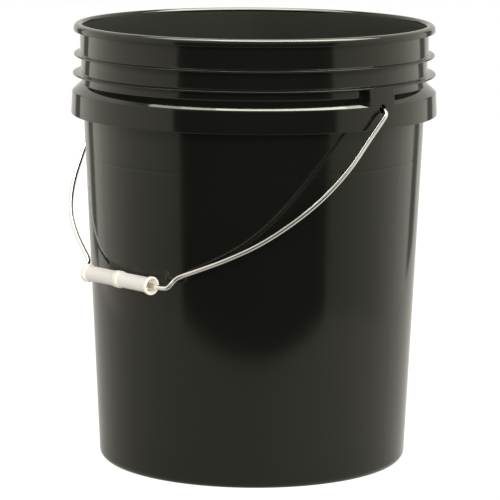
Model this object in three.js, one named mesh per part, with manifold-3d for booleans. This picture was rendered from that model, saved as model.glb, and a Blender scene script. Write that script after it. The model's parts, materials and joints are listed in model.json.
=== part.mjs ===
// A plastic pail of 5 US gallons with a wire bail and a roller hand grip.
// Millimetres, +Z up. The origin is the middle of the bottom, on the surface the pail stands on.
// The bail turns about a line along X and hangs against the wall on the -Y side.
// The pail is one moulding: wall, floor, rim, ribs, skirt and bail ears are all one piece.

import * as THREE from 'three';
import { mergeVertices } from 'three/addons/utils/BufferGeometryUtils.js';
import Module from 'manifold-3d';

const wasm = await Module();
wasm.setup();

const DEGREE = Math.PI / 180;
const ROUND_STEPS = 64;        // facets round the pail
const LAP = 0.8;               // how deep a rib or ear is sunk into the wall it grows from

// Pail body: a cone with one wall thickness
const HEIGHT = 368;
const WALL = 2.3;
const BASE_RADIUS = 129.05;    // outside of the wall, carried down to the ground
const TAPER = 0.0455;          // growth of the radius per millimetre of height
const CORNER = 7;              // outside radius of the bottom corner
const FOOT_INSIDE = 111.8;     // inner radius of the foot ring
const RECESS = 3.2;            // height of the floor's underside above the ground
const FLOOR_TOP = 5.6;
const GATE_RADIUS = 5;         // moulding gate in the middle of the underside
const GATE_DROP = 1.4;

// Skirt: a band that hangs from a sloping shoulder and leaves an open channel round the wall
const BAND_TOP = 312;
const BAND_TOP_RADIUS = 152;
const BAND_BOTTOM = 293;
const BAND_BOTTOM_RADIUS = 153;
const BAND_WALL = 2.2;
const EDGE = 0.4;              // small broken edge
const NECK_BASE = 320;
const NECK_RADII = [144.2, 144.5, 145.3];   // below rib 2, between the ribs, above rib 1
const GUSSETS = 12;
const GUSSET_WALL = 1.6;
const GUSSET_BOTTOM = 299;

// Collar ribs and rim
const RIB_WALL = 1.5;
const LOWER_RIB = { middle: 326.4, radius: 151.5 };
const UPPER_RIB = { middle: 342.3, radius: 150.5 };
const RIM_RADIUS = 150.8;
const RIM_BOTTOM = 361.7;
const RIM_ROUND = 3.8;
const RIM_LIP_WALL = 2.4;
const RIM_CORE_TOP = 365.4;    // top of the groove under the rim
const SEAT_INSIDE = 145.1;     // inner edge of the flat on top of the rim
const MOUTH_CHAMFER = 1.1;

// Bail ears
const EAR_WIDTH = 28;
const EAR_WALL = 2.2;
const EAR_TOP_RADIUS = 151.4;
const HOLE_RADIUS = 3.4;
const HOLE_HEIGHT = 309.8;
const POCKET_INSIDE = 144.3;
const POCKET_TOP = 322;

// Bail wire, as distances across (along the pivot line) and down from the pivot line
const PIVOT_HEIGHT = 308.6;
const HANG_ANGLE = 45.5;       // lean of the bail from straight down, where the grip meets the wall
const WIRE_RADIUS = 1.9;
const WIRE_SIDES = 10;
const HOOK_ACROSS = 147.1;
const HOOK_LENGTH = 8;
const HOOK_BEND = 2.5;
const LEG_ACROSS = 159;
const LEG_BEND = 8;
const LEG_END = 61.8;          // where the straight leg turns into the bow
const BOW_STEP = 12;           // degrees between the bow's points, seen from the bow's centre
const BOW_RADII = [153.1, 148.3, 144.2, 140, 138.5];
const BOW_SHIFT = 2.3;         // the bow, its kinks and the grip's seat are bent this far towards +X
const SEAT_DROP = 202.3;       // the straight stretch that carries the grip
const KINK = { across: 54.5, drop: 191.9 };
const SEAT_HALF = 51.6;

// Hand grip: a hollow roller with fins that reach in to the wire
const GRIP_LENGTH = 82;
const GRIP_SHIFT = -4.1;       // the grip has slid this far along its straight stretch
const GRIP_RADIUS = 6.25;
const GRIP_BORE = 4.9;
const GRIP_RING_RADIUS = 7;
const GRIP_RING_HALF = 3.4;
const FLANGE_RADIUS = 7.5;
const FLANGE_LENGTH = 4;
const FLANGE_BORE = 5.9;
const FIN_COUNT = 6;
const FIN_WALL = 1.1;
const FIN_TIP = 2.3;           // the wire's running clearance is 0.4 all round
const FIN_INSET = 4;
const GRIP_STEPS = 24;

const at = (radius, height) => new THREE.Vector2(radius, height);
const outerWall = (height) => BASE_RADIUS + TAPER * height;
const innerWall = (height) => outerWall(height) - WALL;

function arc(x, y, radius, fromDegrees, toDegrees, steps) {
  const points = [];
  for (let i = 0; i <= steps; i += 1) {
    const angle = (fromDegrees + ((toDegrees - fromDegrees) * i) / steps) * DEGREE;
    points.push(at(x + radius * Math.cos(angle), y + radius * Math.sin(angle)));
  }
  return points;
}

function toSolid(geometry) {
  geometry.deleteAttribute('normal');
  geometry.deleteAttribute('uv');
  const merged = mergeVertices(geometry, 1e-4);
  return new wasm.Manifold(new wasm.Mesh({
    numProp: 3,
    vertProperties: merged.getAttribute('position').array,
    triVerts: Uint32Array.from(merged.index.array),
  }));
}

function toMesh(name, solid, material) {
  const { vertProperties, triVerts } = solid.getMesh();
  const geometry = new THREE.BufferGeometry();
  geometry.setAttribute('position', new THREE.BufferAttribute(vertProperties, 3));
  geometry.setIndex(new THREE.BufferAttribute(triVerts, 1));
  geometry.computeVertexNormals();
  const mesh = new THREE.Mesh(geometry, material);
  mesh.name = name;
  return mesh;
}

// A ring or cup turned about +Z
function turned(outline) {
  const geometry = new THREE.LatheGeometry(outline, ROUND_STEPS);
  geometry.rotateX(Math.PI / 2);
  return toSolid(geometry);
}

function closedRing(...points) {
  return turned([...points, points[0]]);
}

// A box with its low X face at a radius, centred on the X axis, then turned about Z
function radialBox(inside, outside, bottom, top, width, degrees, offset = 0) {
  const geometry = new THREE.BoxGeometry(outside - inside, width, top - bottom);
  geometry.translate((inside + outside) / 2, offset, (bottom + top) / 2);
  geometry.rotateZ(degrees * DEGREE);
  return toSolid(geometry);
}

// Outlines of the pail's section, from the underside's middle round to the floor's middle

function undersideOutline() {
  return [
    at(0, RECESS - GATE_DROP),
    at(GATE_RADIUS, RECESS - GATE_DROP),
    at(GATE_RADIUS + 0.6, RECESS),
    at(FOOT_INSIDE - 2.8, RECESS),
    at(FOOT_INSIDE, 0),
    ...arc(outerWall(CORNER) - CORNER, CORNER, CORNER, -90, 0, 4),
  ];
}

function skirtOutline() {
  const neck = NECK_RADII[0];
  const slope = neck + NECK_BASE - BAND_WALL * Math.SQRT2;   // radius plus height under the shoulder
  const channelTop = (slope - BASE_RADIUS) / (1 + TAPER);
  const bandInside = BAND_TOP_RADIUS - BAND_WALL;
  const lipInside = BAND_BOTTOM_RADIUS - BAND_WALL;
  const shoulder = NECK_BASE + neck - BAND_TOP_RADIUS;       // where slope and band would meet
  return [
    at(outerWall(channelTop), channelTop),
    at(bandInside, slope - bandInside),
    at(lipInside, BAND_BOTTOM + EDGE),
    at(lipInside + EDGE, BAND_BOTTOM),
    at(BAND_BOTTOM_RADIUS - EDGE, BAND_BOTTOM),
    at(BAND_BOTTOM_RADIUS, BAND_BOTTOM + EDGE),
    at(BAND_TOP_RADIUS, shoulder - 0.8),
    at(BAND_TOP_RADIUS - 0.25, shoulder - 0.05),
    at(BAND_TOP_RADIUS - 0.8, shoulder + 0.7),
    at(neck + 0.3, NECK_BASE - 0.1),
    at(neck, NECK_BASE + 0.4),
  ];
}

function ribOutline({ middle, radius }, neckBelow, neckAbove) {
  const half = RIB_WALL / 2;
  return [
    at(neckBelow, middle - half),
    at(radius - EDGE, middle - half),
    at(radius, middle - half + EDGE),
    at(radius, middle + half - EDGE),
    at(radius - EDGE, middle + half),
    at(neckAbove, middle + half),
  ];
}

function rimOutline() {
  const lipInside = RIM_RADIUS - RIM_LIP_WALL;
  return [
    at(NECK_RADII[2], RIM_CORE_TOP),
    at(lipInside, RIM_CORE_TOP),
    at(lipInside, RIM_BOTTOM + EDGE),
    at(lipInside + EDGE, RIM_BOTTOM),
    at(RIM_RADIUS - 2 * EDGE, RIM_BOTTOM),
    at(RIM_RADIUS - 0.1, RIM_BOTTOM + 2 * EDGE),
    ...arc(RIM_RADIUS - RIM_ROUND, HEIGHT - RIM_ROUND, RIM_ROUND, 0, 90, 5),
    at(SEAT_INSIDE, HEIGHT),
    at(SEAT_INSIDE - MOUTH_CHAMFER, HEIGHT - MOUTH_CHAMFER),
    at(innerWall(HEIGHT - 4), HEIGHT - 4),
  ];
}

function insideOutline() {
  const corner = CORNER - WALL;
  return [
    ...arc(innerWall(CORNER) - corner, CORNER, corner, 0, -90, 4),
    at(FOOT_INSIDE + 1.4, CORNER - corner),
    at(FOOT_INSIDE - 1.2, FLOOR_TOP),
    at(0, FLOOR_TOP),
  ];
}

function pailBody() {
  const [belowRibs, betweenRibs, aboveRibs] = NECK_RADII;
  return turned([
    ...undersideOutline(),
    ...skirtOutline(),
    ...ribOutline(LOWER_RIB, belowRibs, betweenRibs),
    ...ribOutline(UPPER_RIB, betweenRibs, aboveRibs),
    ...rimOutline(),
    ...insideOutline(),
  ]);
}

// The channel's space with a lap into the wall, the band and the shoulder, to trim what stands in it
function channelFiller() {
  const top = NECK_BASE - WALL;
  const bandInside = BAND_TOP_RADIUS - BAND_WALL;
  return closedRing(
    at(outerWall(GUSSET_BOTTOM) - LAP, GUSSET_BOTTOM),
    at(bandInside + 0.7 + LAP, GUSSET_BOTTOM),
    at(bandInside + LAP, BAND_TOP - 0.4),
    at(outerWall(top) + LAP, top),
    at(outerWall(top) - LAP, top),
  );
}

function gussets() {
  const inside = outerWall(GUSSET_BOTTOM) - 2 * LAP;
  const stack = [];
  for (let i = 0; i < GUSSETS; i += 1) {
    const degrees = ((i + 0.5) * 360) / GUSSETS;
    stack.push(radialBox(inside, BAND_BOTTOM_RADIUS, GUSSET_BOTTOM, NECK_BASE, GUSSET_WALL, degrees));
  }
  return wasm.Manifold.union(stack);
}

function earCheeks(degrees) {
  const offset = (EAR_WIDTH - EAR_WALL) / 2;
  const inside = outerWall(GUSSET_BOTTOM) - 2 * LAP;
  const box = (side) => radialBox(
    inside, BAND_BOTTOM_RADIUS, GUSSET_BOTTOM, NECK_BASE, EAR_WALL, degrees, side * offset,
  );
  return box(1).add(box(-1));
}

function earBlock(degrees) {
  const bottom = BAND_TOP - 2.8;
  const ring = closedRing(
    at(NECK_RADII[0] - LAP, bottom),
    at(BAND_TOP_RADIUS + 0.1, bottom),
    at(EAR_TOP_RADIUS, LOWER_RIB.middle),
    at(NECK_RADII[0] - LAP, LOWER_RIB.middle),
  );
  const width = radialBox(POCKET_INSIDE - 4, RIM_RADIUS + 4, bottom - 1, NECK_BASE + 20, EAR_WIDTH, degrees);
  return ring.intersect(width);
}

function earPocket(degrees) {
  const bottom = BAND_TOP - 10;
  const bandInside = BAND_TOP_RADIUS - BAND_WALL;
  const ring = closedRing(
    at(POCKET_INSIDE, bottom),
    at(bandInside, bottom),
    at(bandInside, POCKET_TOP),
    at(POCKET_INSIDE, POCKET_TOP),
  );
  const width = EAR_WIDTH - 2 * EAR_WALL;
  return ring.intersect(radialBox(POCKET_INSIDE - 4, RIM_RADIUS, bottom - 1, POCKET_TOP + 1, width, degrees));
}

function earHole(degrees) {
  const depth = 8;
  const geometry = new THREE.CylinderGeometry(HOLE_RADIUS, HOLE_RADIUS, depth, 20);
  geometry.rotateZ(Math.PI / 2);
  geometry.translate(BAND_TOP_RADIUS, 0, HOLE_HEIGHT);
  geometry.rotateZ(degrees * DEGREE);
  return toSolid(geometry);
}

function makePail() {
  let pail = pailBody();
  let webs = gussets();
  for (const degrees of [0, 180]) {
    webs = webs.add(earCheeks(degrees));
  }
  pail = pail.add(webs.intersect(channelFiller()));
  for (const degrees of [0, 180]) {
    pail = pail.add(earBlock(degrees)).subtract(earPocket(degrees)).subtract(earHole(degrees));
  }
  const black = new THREE.MeshStandardMaterial({ color: 0x0e0e0d, roughness: 0.32, metalness: 0 });
  return toMesh('pail', pail, black);
}

// Half of the bail's centre line, from the hook's tip inside the ear to near the middle of the grip's seat.
// The side is 1 for the half at +X and -1 for the other, which is turned over after it is drawn.
function halfBail(side) {
  const aside = side * BOW_SHIFT;
  const points = [
    at(HOOK_ACROSS, -HOOK_LENGTH),
    ...arc(HOOK_ACROSS + HOOK_BEND, -HOOK_BEND, HOOK_BEND, 180, 90, 4),
    ...arc(LEG_ACROSS - LEG_BEND, LEG_BEND, LEG_BEND, -90, 0, 5),
    at(LEG_ACROSS, LEG_END / 2),
    at(LEG_ACROSS, LEG_END),
  ];
  BOW_RADII.forEach((radius, i) => {
    const angle = (i + 1) * BOW_STEP * DEGREE;
    points.push(at(radius * Math.cos(angle) + aside, LEG_END + radius * Math.sin(angle)));
  });
  points.push(at(KINK.across + 3.4 + aside, KINK.drop - 3));
  points.push(at(KINK.across + aside, KINK.drop + 0.8));
  points.push(at(SEAT_HALF + 1 + aside, SEAT_DROP - 1.4));
  points.push(at(SEAT_HALF - 2.5 + aside, SEAT_DROP));
  points.push(at(SEAT_HALF / 2 + aside, SEAT_DROP));
  return points;
}

function bailPath() {
  const lean = HANG_ANGLE * DEGREE;
  const whole = [
    ...halfBail(1),
    ...halfBail(-1).toReversed().map((point) => at(-point.x, point.y)),
  ];
  const centres = whole.map((point) => new THREE.Vector3(
    point.x,
    -point.y * Math.sin(lean),
    PIVOT_HEIGHT - point.y * Math.cos(lean),
  ));
  return new THREE.CatmullRomCurve3(centres, false, 'centripetal');
}

function makeBail() {
  const path = bailPath();
  const spans = path.points.length - 1;
  path.getUtoTmapping = (u) => u;   // equal steps from point to point, so the tight bends get their share
  const section = new THREE.Shape();
  section.absarc(0, 0, WIRE_RADIUS, 0, 2 * Math.PI);
  const geometry = new THREE.ExtrudeGeometry(section, {
    steps: 2 * spans,
    curveSegments: WIRE_SIDES / 2,   // a full circle gets twice this many sides
    bevelEnabled: false,
    extrudePath: path,
  });
  const zinc = new THREE.MeshStandardMaterial({ color: 0xb9b6ae, roughness: 0.3, metalness: 1 });
  return toMesh('bail_wire', toSolid(geometry), zinc);
}

// The roller's wall turned about its own axis, with a flange and a wider mouth at each end
function gripShell() {
  const half = GRIP_LENGTH / 2;
  const flange = half - FLANGE_LENGTH;
  const halfOutline = [
    at(GRIP_RING_RADIUS, GRIP_RING_HALF - 0.6),
    at(GRIP_RADIUS, GRIP_RING_HALF),
    at(GRIP_RADIUS, flange),
    at(FLANGE_RADIUS, flange + 0.9),
    at(FLANGE_RADIUS, half - 0.7),
    at(FLANGE_RADIUS - 0.7, half),
    at(FLANGE_BORE, half),
    at(GRIP_BORE, half - FIN_INSET),
  ];
  const mirrored = halfOutline.toReversed().map((point) => at(point.x, -point.y));
  const geometry = new THREE.LatheGeometry([...mirrored, ...halfOutline, mirrored[0]], GRIP_STEPS);
  return toSolid(geometry);
}

function gripFin(degrees) {
  const outside = (GRIP_BORE + GRIP_RADIUS) / 2;
  const length = GRIP_LENGTH - 2 * FIN_INSET;
  const geometry = new THREE.BoxGeometry(outside - FIN_TIP, length, FIN_WALL);
  geometry.translate((outside + FIN_TIP) / 2, 0, 0);
  geometry.rotateY(degrees * DEGREE);
  return toSolid(geometry);
}

function makeGrip() {
  let grip = gripShell();
  for (let i = 0; i < FIN_COUNT; i += 1) {
    grip = grip.add(gripFin((i * 360) / FIN_COUNT));
  }
  const white = new THREE.MeshStandardMaterial({ color: 0xe6e1d6, roughness: 0.5, metalness: 0 });
  const mesh = toMesh('hand_grip', grip, white);
  const lean = HANG_ANGLE * DEGREE;
  mesh.rotation.z = -Math.PI / 2;
  mesh.position.set(
    GRIP_SHIFT,
    -SEAT_DROP * Math.sin(lean),
    PIVOT_HEIGHT - SEAT_DROP * Math.cos(lean),
  );
  return mesh;
}

const bucket = new THREE.Group();
bucket.add(makePail(), makeBail(), makeGrip());

export default bucket;
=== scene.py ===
import json
from math import asin, atan2, cos, pi, radians, sin, sqrt

import bmesh
import bpy
from mathutils import Matrix, Vector


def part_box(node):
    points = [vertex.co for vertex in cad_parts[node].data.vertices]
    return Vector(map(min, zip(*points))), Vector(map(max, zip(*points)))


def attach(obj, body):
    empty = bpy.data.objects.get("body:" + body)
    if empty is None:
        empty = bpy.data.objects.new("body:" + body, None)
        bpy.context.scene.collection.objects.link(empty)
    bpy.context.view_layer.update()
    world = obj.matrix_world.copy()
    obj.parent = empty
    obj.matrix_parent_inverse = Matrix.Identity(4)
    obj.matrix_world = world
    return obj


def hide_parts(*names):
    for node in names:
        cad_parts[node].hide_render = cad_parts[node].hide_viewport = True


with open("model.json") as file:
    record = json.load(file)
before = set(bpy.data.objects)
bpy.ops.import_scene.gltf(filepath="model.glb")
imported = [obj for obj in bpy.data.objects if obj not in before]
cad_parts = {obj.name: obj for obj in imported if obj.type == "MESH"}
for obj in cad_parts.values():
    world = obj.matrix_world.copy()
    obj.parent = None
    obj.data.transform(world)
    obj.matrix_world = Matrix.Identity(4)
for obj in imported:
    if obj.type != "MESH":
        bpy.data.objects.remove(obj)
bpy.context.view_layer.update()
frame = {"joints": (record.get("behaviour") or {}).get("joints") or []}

MM = 0.001
pail_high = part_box("pail")[1]
HEIGHT = pail_high.z / MM
BAND_FOOT = pail_high.y / MM          # widest radius, at the bottom edge of the skirt
joints = {joint["name"]: joint for joint in frame["joints"]}
PIVOT = Vector(joints["bail_swing"]["pos_m"])
SEAT = Vector(joints["grip_spin"]["pos_m"])    # middle of the straight stretch under the grip

# Pail section, in millimetres
WALL = 2.3
BASE_RADIUS = 129.05
TAPER = 0.0455
CORNER = 7
FOOT_INSIDE = 111.8
RECESS = 3.2
GATE_RADIUS = 5                       # moulding gate in the middle of the underside
GATE_DROP = 1.4
FLOOR_TOP = 5.6
INSIDE_TOP = 362                      # where the plain inner wall starts, under the mouth
WITNESS = 258.5                       # faint ring where the mould's halves meet
WITNESS_DEPTH = 0.03
SHOULDER = 280                        # where the plain outer wall ends, under the skirt
BAND_BOTTOM = 293
BAND_TOP = 311.7
BAND_HEAD = BAND_FOOT - 1
BAND_WALL = 2.2
NECK_BASE = 318.8
NECKS = (144.2, 144.5, 145.3)         # radii below, between and above the ribs
RIB_WALL = 1.5
LOWER_RIB = (326.4, 151.5)            # middle height, radius
UPPER_RIB = (342.3, 150.5)
RIM_RADIUS = 150.8
RIM_BOTTOM = HEIGHT - 6.3
RIM_ROUND = 3.8
RIM_LIP_WALL = 2.4
RIM_CORE_TOP = HEIGHT - 2.6           # top of the groove under the rim
LID_SEAT_INSIDE = 145.1               # inner edge of the flat on top of the rim
MOUTH_CHAMFER = 1.6
WEB_BOTTOM = 299                      # lower edge of the webs that close the channel
WEBS = 12
WEB_HALF = 0.8
PLAIN_COLUMNS = 180                   # columns of the mesh round the pail, before webs and ears
EAR_HALF = 14
EAR_EDGE = 0.7
EAR_WALL = 2.2
EAR_LEAN = 0.04                       # the ear's face leans in with height
POCKET_TOP = 322
HOLE_RADIUS = 3.4
HOLE_HEIGHT = 309.8
HOLE_SIDES = 40
# The hole's cutter as (growth of the radius, distance from the pail's axis)
HOLE_FLARE = (
    (0, 147.6), (0, 151.5), (0.08, 151.8), (0.3, 152.08), (0.75, 152.3), (1.6, 152.6), (2.4, 153.4),
)

# Bail wire and grip, in millimetres
WIRE = 1.9
WIRE_SIDES = 24
HOOK_ACROSS = 147.1
HOOK_LENGTH = 8
HOOK_BEND = 2.5
LEG_ACROSS = 159
LEG_BEND = 8
LEG_END = 61.8
BOW_STEP = 12                         # degrees between the bow's points
BOW_RADII = (153.1, 148.3, 144.2, 140, 138.5)
BOW_SHIFT = 2.3                       # the bow and the grip's seat are bent this far towards +X
KINK = (54.5, 191.9)                  # across, drop
SEAT_HALF = 51.6
GRIP_HALF = 41
GRIP_RADIUS = 6.25
GRIP_BORE = 4.9
GRIP_SIDES = 48
RING_RADIUS = 7                       # low ring round the middle of the grip
FLANGE_RADIUS = 7.5
FLANGE_BORE = 5.9
FLANGE_LENGTH = 4
FINS = 6
FIN_ROOT = 5.2
FIN_TIP = 2.35
FIN_HALF_WALL = 0.5


def outer_wall(z):
    return BASE_RADIUS + TAPER * z


def inner_wall(z):
    return outer_wall(z) - WALL


# ---------------------------------------------------------------- materials

def new_material(name):
    material = bpy.data.materials.new(name)
    material.use_nodes = True
    tree = material.node_tree
    return material, tree, tree.nodes["Principled BSDF"]


def add_node(tree, kind, **values):
    node = tree.nodes.new(kind)
    for key, value in values.items():
        if key in node.inputs:
            node.inputs[key].default_value = value
        else:
            setattr(node, key, value)
    return node


def object_coordinates(tree, stretch=(1, 1, 1)):
    place = add_node(tree, "ShaderNodeTexCoord")
    mapping = add_node(tree, "ShaderNodeMapping", Scale=stretch)
    tree.links.new(place.outputs["Object"], mapping.inputs["Vector"])
    return mapping.outputs["Vector"]


def noise(tree, scale, detail=3, roughness=0.5, stretch=(1, 1, 1)):
    node = add_node(tree, "ShaderNodeTexNoise", Scale=scale, Detail=detail, Roughness=roughness)
    tree.links.new(object_coordinates(tree, stretch), node.inputs["Vector"])
    return node.outputs["Fac"]


def height_above_floor(tree):
    split = add_node(tree, "ShaderNodeSeparateXYZ")
    tree.links.new(object_coordinates(tree), split.inputs[0])
    return split.outputs["Z"]


def remap(tree, value, low, high, to_low, to_high):
    node = add_node(tree, "ShaderNodeMapRange")
    names = ("From Min", "From Max", "To Min", "To Max")
    for key, number in zip(names, (low, high, to_low, to_high)):
        node.inputs[key].default_value = number
    tree.links.new(value, node.inputs["Value"])
    return node.outputs["Result"]


def arithmetic(tree, operation, first, second):
    node = add_node(tree, "ShaderNodeMath", operation=operation)
    for socket, value in zip(node.inputs, (first, second)):
        if isinstance(value, (int, float)):
            socket.default_value = value
        else:
            tree.links.new(value, socket)
    return node.outputs[0]


def blend_colours(tree, factor, first, second):
    node = add_node(tree, "ShaderNodeMix", data_type="RGBA")
    tree.links.new(factor, node.inputs["Factor"])
    node.inputs[6].default_value = (*first, 1)
    node.inputs[7].default_value = (*second, 1)
    return node.outputs[2]


def bump(tree, height, distance, strength, below=None):
    node = add_node(tree, "ShaderNodeBump", Strength=strength, Distance=distance)
    tree.links.new(height, node.inputs["Height"])
    if below is not None:
        tree.links.new(below, node.inputs["Normal"])
    return node.outputs["Normal"]


def black_plastic(name, grey, roughness, collar_roughness, spread):
    """Black moulded polyethylene. Flow marks and rubbed streaks change its gloss a little."""
    material, tree, shader = new_material(name)
    clouds = noise(tree, 9, 4)
    streaks = noise(tree, 260, 3, 0.6, (1, 1, 0.035))
    specks = noise(tree, 700, 2, 0.6)
    dark, light = (Vector(tone) * grey for tone in ((0.78, 0.88, 0.72), (1.05, 1.16, 0.96)))
    colour = blend_colours(tree, clouds, dark, light)
    tree.links.new(colour, shader.inputs["Base Color"])
    gloss = remap(tree, height_above_floor(tree), 0.285, 0.3, roughness, collar_roughness)
    marks = remap(tree, clouds, 0.3, 0.7, -spread, spread)
    rubbed = remap(tree, streaks, 0.52, 0.78, 0, 2.2 * spread)
    wear = arithmetic(tree, "ADD", marks, rubbed)
    tree.links.new(arithmetic(tree, "ADD", gloss, wear), shader.inputs["Roughness"])
    skin = bump(tree, specks, 0.0001, 0.03)
    drawn = bump(tree, streaks, 0.0001, 0.03, skin)
    waves = bump(tree, noise(tree, 45, 2), 0.0004, 0.05, drawn)
    tree.links.new(bump(tree, clouds, 0.002, 0.06, waves), shader.inputs["Normal"])
    shader.inputs["IOR"].default_value = 1.51
    shader.inputs["Specular Tint"].default_value = (1, 0.99, 0.86, 1)
    return material


def bright_wire():
    """Bright galvanised steel wire, with slightly duller patches and a faint grain."""
    material, tree, shader = new_material("bright_wire")
    patches = noise(tree, 120, 4, 0.6)
    grain = noise(tree, 2600, 2, 0.5)
    colour = blend_colours(tree, patches, (0.8, 0.785, 0.755), (0.93, 0.915, 0.885))
    tree.links.new(colour, shader.inputs["Base Color"])
    dull = remap(tree, patches, 0.35, 0.7, 0.13, 0.2)
    tree.links.new(dull, shader.inputs["Roughness"])
    tree.links.new(bump(tree, grain, 0.00001, 0.1), shader.inputs["Normal"])
    shader.inputs["Metallic"].default_value = 1
    return material


def white_plastic():
    """Natural polyethylene, slightly yellow and slightly see-through, with a satin skin."""
    material, tree, shader = new_material("white_plastic")
    clouds = noise(tree, 60, 4)
    pores = noise(tree, 1800, 3, 0.6)
    colour = blend_colours(tree, clouds, (0.85, 0.765, 0.675), (0.91, 0.825, 0.74))
    tree.links.new(colour, shader.inputs["Base Color"])
    tree.links.new(remap(tree, pores, 0.3, 0.7, 0.38, 0.52), shader.inputs["Roughness"])
    tree.links.new(bump(tree, pores, 0.00006, 0.25), shader.inputs["Normal"])
    shader.inputs["Subsurface Weight"].default_value = 0.7
    shader.inputs["Subsurface Radius"].default_value = (1.0, 0.85, 0.6)
    shader.inputs["Subsurface Scale"].default_value = 0.006
    return material


# ---------------------------------------------------------------- mesh helpers

def finish_piece(name, mesh_data, materials, body, node):
    piece = bpy.data.objects.new(name, mesh_data)
    bpy.context.scene.collection.objects.link(piece)
    for material in materials:
        mesh_data.materials.append(material)
    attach(piece, body)
    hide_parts(node)
    return piece


def smooth(mesh_data, sharp_degrees):
    mesh_data.polygons.foreach_set("use_smooth", [True] * len(mesh_data.polygons))
    mesh_data.set_sharp_from_angle(angle=radians(sharp_degrees))


def rounded(corners):
    """A line through corners (x, y, reach, steps), each rounded over its reach on both sides."""
    points = []
    for i, (x, y, reach, steps) in enumerate(corners):
        here = Vector((x, y))
        if steps == 0:
            points.append(here)
            continue
        before = Vector(corners[i - 1][:2]) - here
        after = Vector(corners[i + 1][:2]) - here
        start = here + before.normalized() * reach
        end = here + after.normalized() * reach
        for k in range(steps + 1):
            t = k / steps
            points.append((1 - t) ** 2 * start + 2 * t * (1 - t) * here + t * t * end)
    return points


def arc(x, y, radius, start, end, steps):
    angles = [radians(start + (end - start) * i / steps) for i in range(steps + 1)]
    return [Vector((x + radius * cos(a), y + radius * sin(a))) for a in angles]


def mesh_data_from(mesh, name):
    bmesh.ops.recalc_face_normals(mesh, faces=mesh.faces)
    data = bpy.data.meshes.new(name)
    mesh.to_mesh(data)
    mesh.free()
    return data


def closed_tube(name, mesh, rings):
    """Joins the rings of vertices into a tube and closes both of its ends."""
    sides = len(rings[0])
    for here, after in zip(rings, rings[1:]):
        for k in range(sides):
            j = (k + 1) % sides
            mesh.faces.new((here[k], here[j], after[j], after[k]))
    mesh.faces.new(rings[0])
    mesh.faces.new(rings[-1])
    return mesh_data_from(mesh, name)


# ---------------------------------------------------------------- pail

def underside_line():
    corners = [
        (0, RECESS - GATE_DROP, 0, 0),
        (GATE_RADIUS, RECESS - GATE_DROP, 0.3, 3),
        (GATE_RADIUS + 0.5, RECESS, 0.3, 3),
        (40, RECESS, 1, 1),
        (FOOT_INSIDE - 2.8, RECESS, 1, 3),
        (FOOT_INSIDE, 0, 0.6, 3),
        (FOOT_INSIDE + 4, 0, 1, 1),
    ]
    foot = outer_wall(CORNER) - CORNER
    return rounded(corners + [(foot, 0, 0, 0)])[:-1] + arc(foot, CORNER, CORNER, -90, 0, 10)


def wall_line():
    plain = [(z, 0) for z in (30, 90, 150, 210)]
    ring = [
        (WITNESS - 2.6, 0), (WITNESS - 1, 0), (WITNESS - 0.5, WITNESS_DEPTH),
        (WITNESS + 0.3, WITNESS_DEPTH), (WITNESS + 0.8, 0), (WITNESS + 2.6, 0),
    ]
    return [Vector((outer_wall(z) - inset, z)) for z, inset in plain + ring + [(SHOULDER, 0)]]


def channel_corners(kind):
    """The channel under the skirt: 'open', closed low by a 'web', or high in an ear's 'pocket'."""
    head = BAND_HEAD - BAND_WALL
    if kind == "web":
        return [(outer_wall(WEB_BOTTOM), WEB_BOTTOM, 0.6, 3), (head + 0.9, WEB_BOTTOM, 0.6, 3)]
    if kind == "pocket":
        return [(NECKS[0] - 0.2, POCKET_TOP, 0.8, 3), (head, POCKET_TOP, 0.8, 3)]
    slope = BAND_HEAD + BAND_TOP - BAND_WALL * sqrt(2)
    top = (slope - BASE_RADIUS) / (1 + TAPER)
    return [(outer_wall(top), top, 1.2, 3), (head, slope - head, 1.2, 3)]


def rib_corners(rib, below, above):
    middle, radius = rib
    half = RIB_WALL / 2
    return [
        (below, middle - half - 0.15, 0.8, 3),
        (radius, middle - half + 0.05, 0.6, 4),
        (radius, middle + half - 0.05, 0.6, 4),
        (above, middle + half + 0.15, 0.8, 3),
    ]


def collar_corners(on_ear):
    """From the band's outside up to the lower rib. On an ear the corners lie on its flush face."""
    if on_ear:
        spots = ((312.8, 6), (317.5, 3), (321.8, 3), (325.4, 4))
        return [(BAND_HEAD - EAR_LEAN * (z - BAND_TOP), z, 1.1, steps) for z, steps in spots]
    plain = [(BAND_HEAD, BAND_TOP, 0.8, 6), (NECKS[0], NECK_BASE, 1.2, 3)]
    return plain + rib_corners(LOWER_RIB, *NECKS[:2])[:2]


def rim_corners():
    neck = NECKS[2]
    lip = RIM_RADIUS - RIM_LIP_WALL
    return [
        (neck, RIM_CORE_TOP, 1, 3),
        (lip, RIM_CORE_TOP, 1, 3),
        (lip, RIM_BOTTOM, 0.5, 3),
        (RIM_RADIUS, RIM_BOTTOM, 0.9, 4),
    ]


def inside_line():
    corner = CORNER - WALL
    heights = (INSIDE_TOP, 330, 280, 230, 180, 130, 80, 40, 20)
    wall = [Vector((inner_wall(z), z)) for z in heights]
    bend = arc(inner_wall(CORNER) - corner, CORNER, corner, 0, -90, 8)
    bottom = rounded([
        (FOOT_INSIDE + 6, CORNER - corner, 0, 0),
        (FOOT_INSIDE + 1.4, CORNER - corner, 1, 3),
        (FOOT_INSIDE - 1.2, FLOOR_TOP, 1, 3),
        (60, FLOOR_TOP, 1, 1),
        (0, FLOOR_TOP, 0, 0),
    ])[1:]
    return wall + bend + bottom


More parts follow.
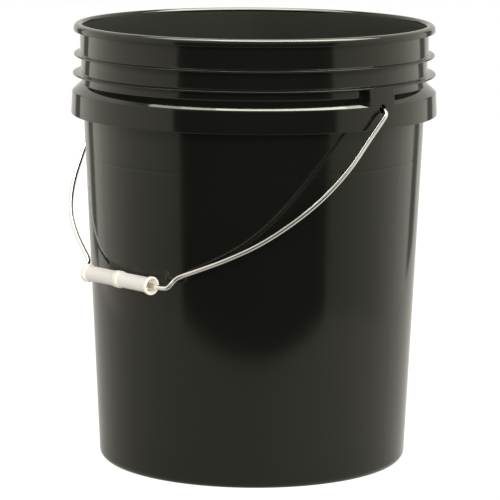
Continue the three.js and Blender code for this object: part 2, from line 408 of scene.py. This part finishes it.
def pail_line(channel, on_ear):
    """One section of the pail as (radius, height), and the index where the inside begins."""
    lip_inside = BAND_FOOT - BAND_WALL
    bead_centre = (RIM_RADIUS - RIM_ROUND, HEIGHT - RIM_ROUND)
    middle = rounded(
        [(outer_wall(SHOULDER), SHOULDER, 0, 0)]
        + channel_corners(channel)
        + [(lip_inside, BAND_BOTTOM, 0.7, 4), (BAND_FOOT, BAND_BOTTOM, 0.8, 4)]
        + collar_corners(on_ear)
        + rib_corners(LOWER_RIB, *NECKS[:2])[2:]
        + rib_corners(UPPER_RIB, *NECKS[1:])
        + rim_corners()
        + [(RIM_RADIUS, bead_centre[1], 0, 0)]
    )[1:-1]
    bead = arc(*bead_centre, RIM_ROUND, 0, 90, 9)
    mouth = rounded([
        (bead_centre[0], HEIGHT, 0, 0),
        (LID_SEAT_INSIDE, HEIGHT, 0.45, 3),
        (LID_SEAT_INSIDE - MOUTH_CHAMFER, HEIGHT - MOUTH_CHAMFER, 0.45, 3),
        (inner_wall(HEIGHT - 4), HEIGHT - 4, 1, 2),
        (inner_wall(INSIDE_TOP), INSIDE_TOP, 0, 0),
    ])[1:-1]
    outside = underside_line() + wall_line() + middle + bead + mouth[:-3]
    return outside + mouth[-3:] + inside_line(), len(outside)


def nearest(turn, others):
    """The angle from a turn to the nearest of the others."""
    return min(abs(atan2(sin(turn - other), cos(turn - other))) for other in others)


def pail_columns():
    """Every column of the mesh as (turn, offset along the tangent, ear share, channel kind)."""
    columns = []
    web_turns = [2 * pi * (i + 0.5) / WEBS for i in range(WEBS)]
    for i in range(PLAIN_COLUMNS):
        turn = 2 * pi * i / PLAIN_COLUMNS
        if nearest(turn, (0, pi)) > radians(7) and nearest(turn, web_turns) > radians(0.9):
            columns.append((turn, 0, 0, "open"))
    for web in web_turns:
        for offset, kind in ((WEB_HALF + 0.3, "open"), (WEB_HALF, "web")):
            columns += [(web, -offset, 0, kind), (web, offset, 0, kind)]
    for ear in (0, pi):
        for offset, share, kind in ear_steps():
            columns += [(ear, side * offset, share, kind) for side in ((-1, 1) if offset else (1,))]
    return sorted(columns, key=lambda c: (c[0] + asin(c[1] / NECKS[0])) % (2 * pi))


def ear_steps():
    """Half of an ear's columns, from its middle out: (offset, ear share, channel kind)."""
    pocket = EAR_HALF - EAR_WALL
    depth = BAND_HEAD - NECKS[0]
    steps = [(i * 0.95, 1, "pocket") for i in range(12)]
    steps += [(pocket - 0.15, 1, "pocket"), (pocket + 0.15, 1, "web"), (12.6, 1, "web")]
    for i in range(6):
        angle = radians(90 * i / 5)
        share = 1 - EAR_EDGE * (1 - cos(angle)) / depth
        steps.append((EAR_HALF - EAR_EDGE * (1 - sin(angle)), share, "web"))
    return steps + [(EAR_HALF + 0.3, 0, "open"), (15.4, 0, "open"), (17, 0, "open")]


def pail_mesh():
    lines = {}
    for kind in ("open", "web", "pocket"):
        for on_ear in (False, True):
            lines[kind, on_ear], inside_from = pail_line(kind, on_ear)
    columns = pail_columns()
    count = len(lines["open", False])
    mesh = bmesh.new()
    rings = []
    for turn, offset, share, kind in columns:
        ring = []
        for plain, ear in zip(lines[kind, False][1:-1], lines[kind, True][1:-1]):
            radius, height = plain.lerp(ear, share)
            angle = turn + asin(offset / max(radius, NECKS[0] - 4))
            place = Vector((radius * cos(angle), radius * sin(angle), height))
            ring.append(mesh.verts.new(place * MM))
        rings.append(ring)
    below = mesh.verts.new((0, 0, lines["open", False][0].y * MM))
    above = mesh.verts.new((0, 0, lines["open", False][-1].y * MM))
    for here, after in zip(rings, rings[1:] + rings[:1]):
        mesh.faces.new((below, after[0], here[0]))
        for k in range(count - 3):
            face = mesh.faces.new((here[k], after[k], after[k + 1], here[k + 1]))
            face.material_index = 1 if k + 1 >= inside_from else 0
        top = mesh.faces.new((here[-1], after[-1], above))
        top.material_index = 1
    return mesh_data_from(mesh, "pail_shell")


def turned_cutter(side):
    """What the ear's hole is cut with: a round bar along X with a flared lip at the ear's face."""
    mesh = bmesh.new()
    rings = []
    for growth, along in HOLE_FLARE:
        radius = HOLE_RADIUS + growth
        ring = []
        for i in range(HOLE_SIDES):
            angle = 2 * pi * (i + 0.5) / HOLE_SIDES
            place = Vector((side * along, radius * cos(angle), HOLE_HEIGHT + radius * sin(angle)))
            ring.append(mesh.verts.new(place * MM))
        rings.append(ring)
    data = closed_tube("hole_cutter", mesh, rings)
    cutter = bpy.data.objects.new("hole_cutter", data)
    bpy.context.scene.collection.objects.link(cutter)
    return cutter


def cut_holes(data, materials):
    for material in materials:
        data.materials.append(material)
    blank = bpy.data.objects.new("pail_blank", data)
    bpy.context.scene.collection.objects.link(blank)
    cutters = [turned_cutter(side) for side in (-1, 1)]
    for cutter in cutters:
        hole = blank.modifiers.new("ear_hole", "BOOLEAN")
        hole.operation = "DIFFERENCE"
        hole.solver = "EXACT"
        hole.object = cutter
    state = bpy.context.evaluated_depsgraph_get()
    cut = bpy.data.meshes.new_from_object(blank.evaluated_get(state))
    for thing in [blank, *cutters]:
        bpy.data.objects.remove(thing)
    cut.name = "pail_shell"
    return cut


def make_pail():
    gloss = black_plastic("black_gloss", 0.0045, 0.115, 0.07, 0.012)
    # The inside is the same black plastic with a real satin skin, but its grey is three times the
    # outside's: that extra grey is painted light, standing in for what the rough skin catches from
    # above.
    satin_painted_lighter = black_plastic("black_satin_painted_lighter", 0.0135, 0.5, 0.5, 0.05)
    data = cut_holes(pail_mesh(), (gloss, satin_painted_lighter))
    smooth(data, 34)
    return finish_piece("pail_shell", data, (), "pail_body", "pail")


# ---------------------------------------------------------------- bail wire

def half_bail(side):
    """(across, drop from the pivot line) from the hook's tip to near the middle of the seat.

    The side is 1 for the half at +X and -1 for the other, which is turned over after it is drawn.
    """
    aside = side * BOW_SHIFT
    drop = (PIVOT - SEAT).yz.length / MM
    points = [Vector((HOOK_ACROSS, -HOOK_LENGTH)), Vector((HOOK_ACROSS, -HOOK_LENGTH / 2 - 1))]
    points += arc(HOOK_ACROSS + HOOK_BEND, -HOOK_BEND, HOOK_BEND, 180, 90, 6)
    points += arc(LEG_ACROSS - LEG_BEND, LEG_BEND, LEG_BEND, -90, 0, 8)
    points += [Vector((LEG_ACROSS, LEG_END / 2)), Vector((LEG_ACROSS, LEG_END))]
    for i, radius in enumerate(BOW_RADII):
        angle = radians((i + 1) * BOW_STEP)
        points.append(Vector((radius * cos(angle) + aside, LEG_END + radius * sin(angle))))
    points += [
        Vector((KINK[0] + 3.4 + aside, KINK[1] - 3)),
        Vector((KINK[0] + aside, KINK[1] + 0.8)),
        Vector((SEAT_HALF + 1 + aside, drop - 1.4)),
        Vector((SEAT_HALF - 2.5 + aside, drop)),
        Vector((SEAT_HALF / 2 + aside, drop)),
    ]
    return points


def spline(points, steps):
    """A smooth line (centripetal Catmull-Rom) through the points, with steps between each two."""
    ends = [2 * points[0] - points[1], *points, 2 * points[-1] - points[-2]]
    line = []
    for a, b, c, d in zip(ends, ends[1:], ends[2:], ends[3:]):
        ta, tb, tc = ((q - p).length ** 0.5 for p, q in ((a, b), (b, c), (c, d)))
        out = (c - b) + tb * ((b - a) / ta - (c - a) / (ta + tb))
        into = (c - b) + tb * ((d - c) / tc - (d - b) / (tb + tc))
        for k in range(steps):
            t = k / steps
            line.append(
                (2 * t**3 - 3 * t**2 + 1) * b + (t**3 - 2 * t**2 + t) * out
                + (-2 * t**3 + 3 * t**2) * c + (t**3 - t**2) * into
            )
    return line + [points[-1]]


def swept(name, line, normal, radius, sides):
    """A round bar along a flat line, with ends that are slightly domed."""
    mesh = bmesh.new()
    count = len(line)
    stations = []
    for i, place in enumerate(line):
        along = (line[min(i + 1, count - 1)] - line[max(i - 1, 0)]).normalized()
        stations.append((place, along, radius))
    first, last = stations[0], stations[-1]
    dome = [(0.82, 0.22), (0.5, 0.34)]
    for share, rise in dome:
        stations.insert(0, (first[0] - first[1] * rise * radius, first[1], radius * share))
        stations.append((last[0] + last[1] * rise * radius, last[1], radius * share))
    rings = []
    for place, along, size in stations:
        across = along.cross(normal)
        ring = []
        for k in range(sides):
            angle = 2 * pi * k / sides
            ring.append(mesh.verts.new(place + (across * cos(angle) + normal * sin(angle)) * size))
        rings.append(ring)
    return closed_tube(name, mesh, rings)


def make_bail():
    flat = half_bail(1) + [Vector((-p.x, p.y)) for p in reversed(half_bail(-1))]
    hang = (SEAT - PIVOT).yz.normalized()
    places = [Vector((p.x * MM, p.y * MM * hang.x, PIVOT.z + p.y * MM * hang.y)) for p in flat]
    across = Vector((0, -hang.y, hang.x))
    data = swept("bail_bright", spline(places, 6), across, WIRE * MM, WIRE_SIDES)
    smooth(data, 40)
    return finish_piece("bail_bright", data, [bright_wire()], "bail", "bail_wire")


# ---------------------------------------------------------------- hand grip

def grip_line():
    """Half of the roller's section as (radius, along), from the middle ring out and back inside."""
    flange = GRIP_HALF - FLANGE_LENGTH
    return rounded([
        (RING_RADIUS, 0, 0, 0),
        (RING_RADIUS, 3.1, 0.6, 3),
        (GRIP_RADIUS, 3.7, 0.3, 2),
        (GRIP_RADIUS - 0.05, 20, 1, 1),
        (GRIP_RADIUS, flange - 0.6, 0.8, 4),
        (FLANGE_RADIUS, flange + 0.7, 0.6, 4),
        (FLANGE_RADIUS, GRIP_HALF, 0.9, 5),
        (FLANGE_BORE, GRIP_HALF, 0.35, 3),
        (GRIP_BORE, flange, 0.6, 2),
        (GRIP_BORE, 0, 0, 0),
    ])


def grip_mesh():
    """The roller's wall, whose section is a closed outline, with fins inside."""
    half = grip_line()
    outline = half[:-1] + [Vector((p.x, -p.y)) for p in reversed(half[1:-1])]
    mesh = bmesh.new()
    rings = []
    for i in range(GRIP_SIDES):
        angle = 2 * pi * i / GRIP_SIDES
        rings.append([mesh.verts.new((p.y, p.x * cos(angle), p.x * sin(angle))) for p in outline])
    for here, after in zip(rings, rings[1:] + rings[:1]):
        for k in range(len(outline)):
            j = (k + 1) % len(outline)
            mesh.faces.new((here[k], after[k], after[j], here[j]))
    for fin in range(FINS):
        add_fin(mesh, 2 * pi * fin / FINS)
    grip_low, grip_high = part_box("hand_grip")
    middle = (grip_low.x + grip_high.x) / 2
    bmesh.ops.scale(mesh, verts=mesh.verts, vec=(MM, MM, MM))
    bmesh.ops.translate(mesh, verts=mesh.verts, vec=(middle, SEAT.y, SEAT.z))
    return mesh_data_from(mesh, "roller_grip")


def add_fin(mesh, angle):
    """A fin along the bore, a little thinner at its tip than at its root."""
    length = 2 * (GRIP_HALF - FLANGE_LENGTH - 0.4)
    turn = Matrix.Rotation(angle, 3, "X")
    for vert in bmesh.ops.create_cube(mesh, size=1)["verts"]:
        x, y, z = vert.co
        radius, share = (FIN_ROOT, 1) if y > 0 else (FIN_TIP, 0.8)
        vert.co = turn @ Vector((x * length, radius, z * 2 * FIN_HALF_WALL * share))


def make_grip():
    data = grip_mesh()
    smooth(data, 50)
    return finish_piece("roller_grip", data, [white_plastic()], "grip", "hand_grip")


# ---------------------------------------------------------------- stage, light and camera

CAMERA_AZIMUTH = 47.2
CAMERA_DISTANCE = 2.5118
CAMERA_HEIGHT = 0.5962
CAMERA_PITCH = 9.503
CAMERA_YAW = 0.059
CAMERA_ROLL = 0.37
CAMERA_LENS = 217.13

# The floor and the studio as the pail mirrors them. The camera sees both burnt out to white.
WARM = (1, 0.968, 0.88)
FLOOR_FRONT = 0.46
FLOOR_BACK = 0.78
FLOOR_RIGHT = 0.2
FLOOR_SIDE = 0.62                     # half of the floor's width, in metres
FLOOR_LENGTH = 2.4
FLOOR_WHITE = 1.1
# Brightness round the pail as (degrees from the camera's side, brightness), left to right
STUDIO = (
    (-180, 0.5), (-152.6, 0.6), (-151.6, 0.16), (-141.6, 0.16), (-140.6, 0.82), (-134, 0.82),
    (-122, 0.76), (-105, 0.64), (-90, 0.57), (-77, 0.53), (-65, 0.48), (-52, 0.42), (-50, 0.06),
    (-43, 0.03), (43, 0.03), (51.5, 0.06), (53, 0.38), (62, 0.44), (68, 0.47), (74, 0.5),
    (87, 0.57), (101, 0.65), (118, 0.76), (139, 0.78), (141, 0.16), (151.5, 0.16), (152.5, 0.6),
    (180, 0.5),
)

LIGHT_TINT = (1, 0.985, 0.94)
CEILING_AHEAD = 0.015
CEILING_HEIGHT = 1.57
CEILING_DEPTH = 0.87
# Ceiling strips side by side as (name, metres to the right, width, radiance)
CEILING = (
    ("ceiling_far_left", -0.77, 0.3, 5.5), ("ceiling_left", -0.47, 0.3, 9),
    ("ceiling_middle", 0.24, 1.12, 16.5), ("ceiling_right", 1.05, 0.5, 10),
)

to_camera = Vector((sin(radians(CAMERA_AZIMUTH)), -cos(radians(CAMERA_AZIMUTH)), 0))
to_right = Vector((cos(radians(CAMERA_AZIMUTH)), sin(radians(CAMERA_AZIMUTH)), 0))


def make_camera():
    data = bpy.data.cameras.new("camera")
    data.sensor_width = 36
    data.lens = CAMERA_LENS
    camera = bpy.data.objects.new("camera", data)
    turn = Matrix.Rotation(radians(CAMERA_AZIMUTH + CAMERA_YAW), 4, "Z")
    tilt = Matrix.Rotation(radians(90 - CAMERA_PITCH), 4, "X")
    roll = Matrix.Rotation(radians(CAMERA_ROLL), 4, "Z")
    place = Matrix.Translation(to_camera * CAMERA_DISTANCE + Vector((0, 0, CAMERA_HEIGHT)))
    camera.matrix_world = place @ turn @ tilt @ roll
    bpy.context.scene.collection.objects.link(camera)
    bpy.context.scene.camera = camera


def dot_with(tree, vector, direction):
    node = add_node(tree, "ShaderNodeVectorMath", operation="DOT_PRODUCT")
    tree.links.new(vector, node.inputs[0])
    node.inputs[1].default_value = direction
    return node.outputs["Value"]


def glow_node(tree, colour):
    return add_node(tree, "ShaderNodeEmission", Color=(*colour, 1))


def for_camera(tree):
    """1 for what the camera sees straight, 0 for what is mirrored or lit."""
    return add_node(tree, "ShaderNodeLightPath").outputs["Is Camera Ray"]


def floor_mesh():
    """A flat sheet that ends half a metre in front of the pail, in a shallow curve."""
    front = [(turn, 0.49 + 0.165 * (turn / 50) ** 2) for turn in range(-50, 51, 5)]
    corners = [(reach * cos(radians(turn)), reach * sin(radians(turn))) for turn, reach in front]
    corners += [(0.2, FLOOR_SIDE), (-FLOOR_LENGTH, FLOOR_SIDE)]
    corners += [(-FLOOR_LENGTH, -FLOOR_SIDE), (0.2, -FLOOR_SIDE)]
    mesh = bmesh.new()
    mesh.faces.new([mesh.verts.new(to_camera * f + to_right * s) for f, s in corners])
    data = bpy.data.meshes.new("floor")
    mesh.to_mesh(data)
    mesh.free()
    if data.polygons[0].normal.z < 0:
        data.flip_normals()
    return data


def pale_sheet():
    """The pail sees the sheet dimmer in front than behind and on the right."""
    material, tree, shader = new_material("pale_sheet")
    tree.nodes.remove(shader)
    place = add_node(tree, "ShaderNodeTexCoord")
    heading = add_node(tree, "ShaderNodeVectorMath", operation="NORMALIZE")
    tree.links.new(place.outputs["Object"], heading.inputs[0])
    to_front = dot_with(tree, heading.outputs[0], to_camera)
    ahead = remap(tree, to_front, -1, 1, FLOOR_BACK, FLOOR_FRONT)
    aside = remap(tree, dot_with(tree, heading.outputs[0], to_right), 0, 1, 0, FLOOR_RIGHT)
    seen_by_pail = glow_node(tree, WARM)
    tree.links.new(arithmetic(tree, "ADD", ahead, aside), seen_by_pail.inputs["Strength"])
    seen_by_camera = glow_node(tree, (1, 1, 1))
    seen_by_camera.inputs["Strength"].default_value = FLOOR_WHITE
    mix = add_node(tree, "ShaderNodeMixShader")
    tree.links.new(for_camera(tree), mix.inputs[0])
    tree.links.new(seen_by_pail.outputs[0], mix.inputs[1])
    tree.links.new(seen_by_camera.outputs[0], mix.inputs[2])
    tree.links.new(mix.outputs[0], tree.nodes["Material Output"].inputs["Surface"])
    return material


def make_floor():
    data = floor_mesh()
    data.materials.append(pale_sheet())
    floor = bpy.data.objects.new("floor", data)
    bpy.context.scene.collection.objects.link(floor)


def studio_brightness(tree, turn):
    """The STUDIO table as a ramp over the direction's turn from the camera's side."""
    ramp = add_node(tree, "ShaderNodeValToRGB")
    tree.links.new(remap(tree, turn, -pi, pi, 0, 1), ramp.inputs[0])
    stops = ramp.color_ramp.elements
    while len(stops) < len(STUDIO):
        stops.new(1)
    for stop, (degrees_round, brightness) in zip(stops, STUDIO):
        stop.position = (degrees_round + 180) / 360
        stop.color = (brightness, brightness, brightness, 1)
    return ramp.outputs["Color"]


def mix_values(tree, factor, first, second):
    node = add_node(tree, "ShaderNodeMix")
    for key, value in (("Factor", factor), ("A", first), ("B", second)):
        if isinstance(value, (int, float)):
            node.inputs[key].default_value = value
        else:
            tree.links.new(value, node.inputs[key])
    return node.outputs["Result"]


def make_world():
    """A ring of walls as in STUDIO, brighter above the floor, under a plain ceiling."""
    world = bpy.data.worlds.new("studio")
    bpy.context.scene.world = world
    world.use_nodes = True
    tree = world.node_tree
    background = tree.nodes["Background"]
    place = add_node(tree, "ShaderNodeTexCoord").outputs["Generated"]
    ahead = dot_with(tree, place, to_camera)
    up = dot_with(tree, place, (0, 0, 1))
    turn = arithmetic(tree, "ARCTAN2", dot_with(tree, place, to_right), ahead)
    rise = remap(tree, up, -0.25, -0.15, 1.03, 1.55)
    walls = arithmetic(tree, "MULTIPLY", studio_brightness(tree, turn), rise)
    above = remap(tree, ahead, 0.1, 0.9, 1, 0.4)
    room = mix_values(tree, remap(tree, up, 0.17, 0.34, 0, 1), walls, above)
    ceiling = remap(tree, up, 0.68, 0.8, 1, 0.35)
    mirrored = arithmetic(tree, "MULTIPLY", room, ceiling)
    colour = blend_colours(tree, for_camera(tree), WARM, (1, 1, 1))
    tree.links.new(colour, background.inputs["Color"])
    strength = mix_values(tree, for_camera(tree), mirrored, 1)
    tree.links.new(strength, background.inputs["Strength"])


def panel(name, ahead, aside, height, size, radiance):
    """A soft light panel that shines straight down, placed from the pail's middle."""
    data = bpy.data.lights.new(name, "AREA")
    data.shape = "RECTANGLE"
    data.size, data.size_y = size
    data.energy = radiance * pi * size[0] * size[1]
    data.color = LIGHT_TINT
    light = bpy.data.objects.new(name, data)
    light.location = to_camera * ahead + to_right * aside + Vector((0, 0, height))
    light.rotation_euler = (0, 0, radians(CAMERA_AZIMUTH))
    light.visible_camera = False
    bpy.context.scene.collection.objects.link(light)
    return light


def aim(light, target):
    """Turns the light's beam towards a place."""
    light.rotation_euler = (target - light.location).to_track_quat("-Z", "Y").to_euler()


def only_for(light, pieces):
    """The light falls on these pieces alone."""
    lit = bpy.data.collections.new(light.name + "_pieces")
    for piece in pieces:
        lit.objects.link(piece)
    light.light_linking.receiver_collection = lit


def light_ceiling(pail, bail, grip):
    """The pail mirrors strips that are brightest in the middle. The wire and the grip get less."""
    for name, aside, width, radiance in CEILING:
        size = (width, CEILING_DEPTH)
        strip = panel(name, CEILING_AHEAD, aside, CEILING_HEIGHT, size, radiance)
        strip.visible_diffuse = False
        only_for(strip, [pail])
    soft = panel("ceiling_soft", -0.2, 0, CEILING_HEIGHT, (2, 1.2), 3.6)
    soft.visible_diffuse = False
    only_for(soft, [bail, grip])


def light_fill():
    """One large soft light from low beside the camera, which leaves no mirror image."""
    fill = panel("fill", 1.5, 0.25, 0.6, (1.2, 1.2), 7.5)
    aim(fill, Vector((0, 0, 0.25)))
    fill.visible_glossy = False


def light_through(grip):
    """Brightens the grip's back, which the pale room lights through the thin white plastic."""
    through = panel("through", 0, 0, 0.26, (0.3, 0.3), 2.6)
    aim(through, SEAT)
    through.visible_glossy = False
    only_for(through, [grip])
    through.light_linking.blocker_collection = through.light_linking.receiver_collection


make_camera()
pail, bail, grip = make_pail(), make_bail(), make_grip()
make_floor()
make_world()
light_ceiling(pail, bail, grip)
light_fill()
light_through(grip)
bpy.context.scene.view_settings.view_transform = "Standard"
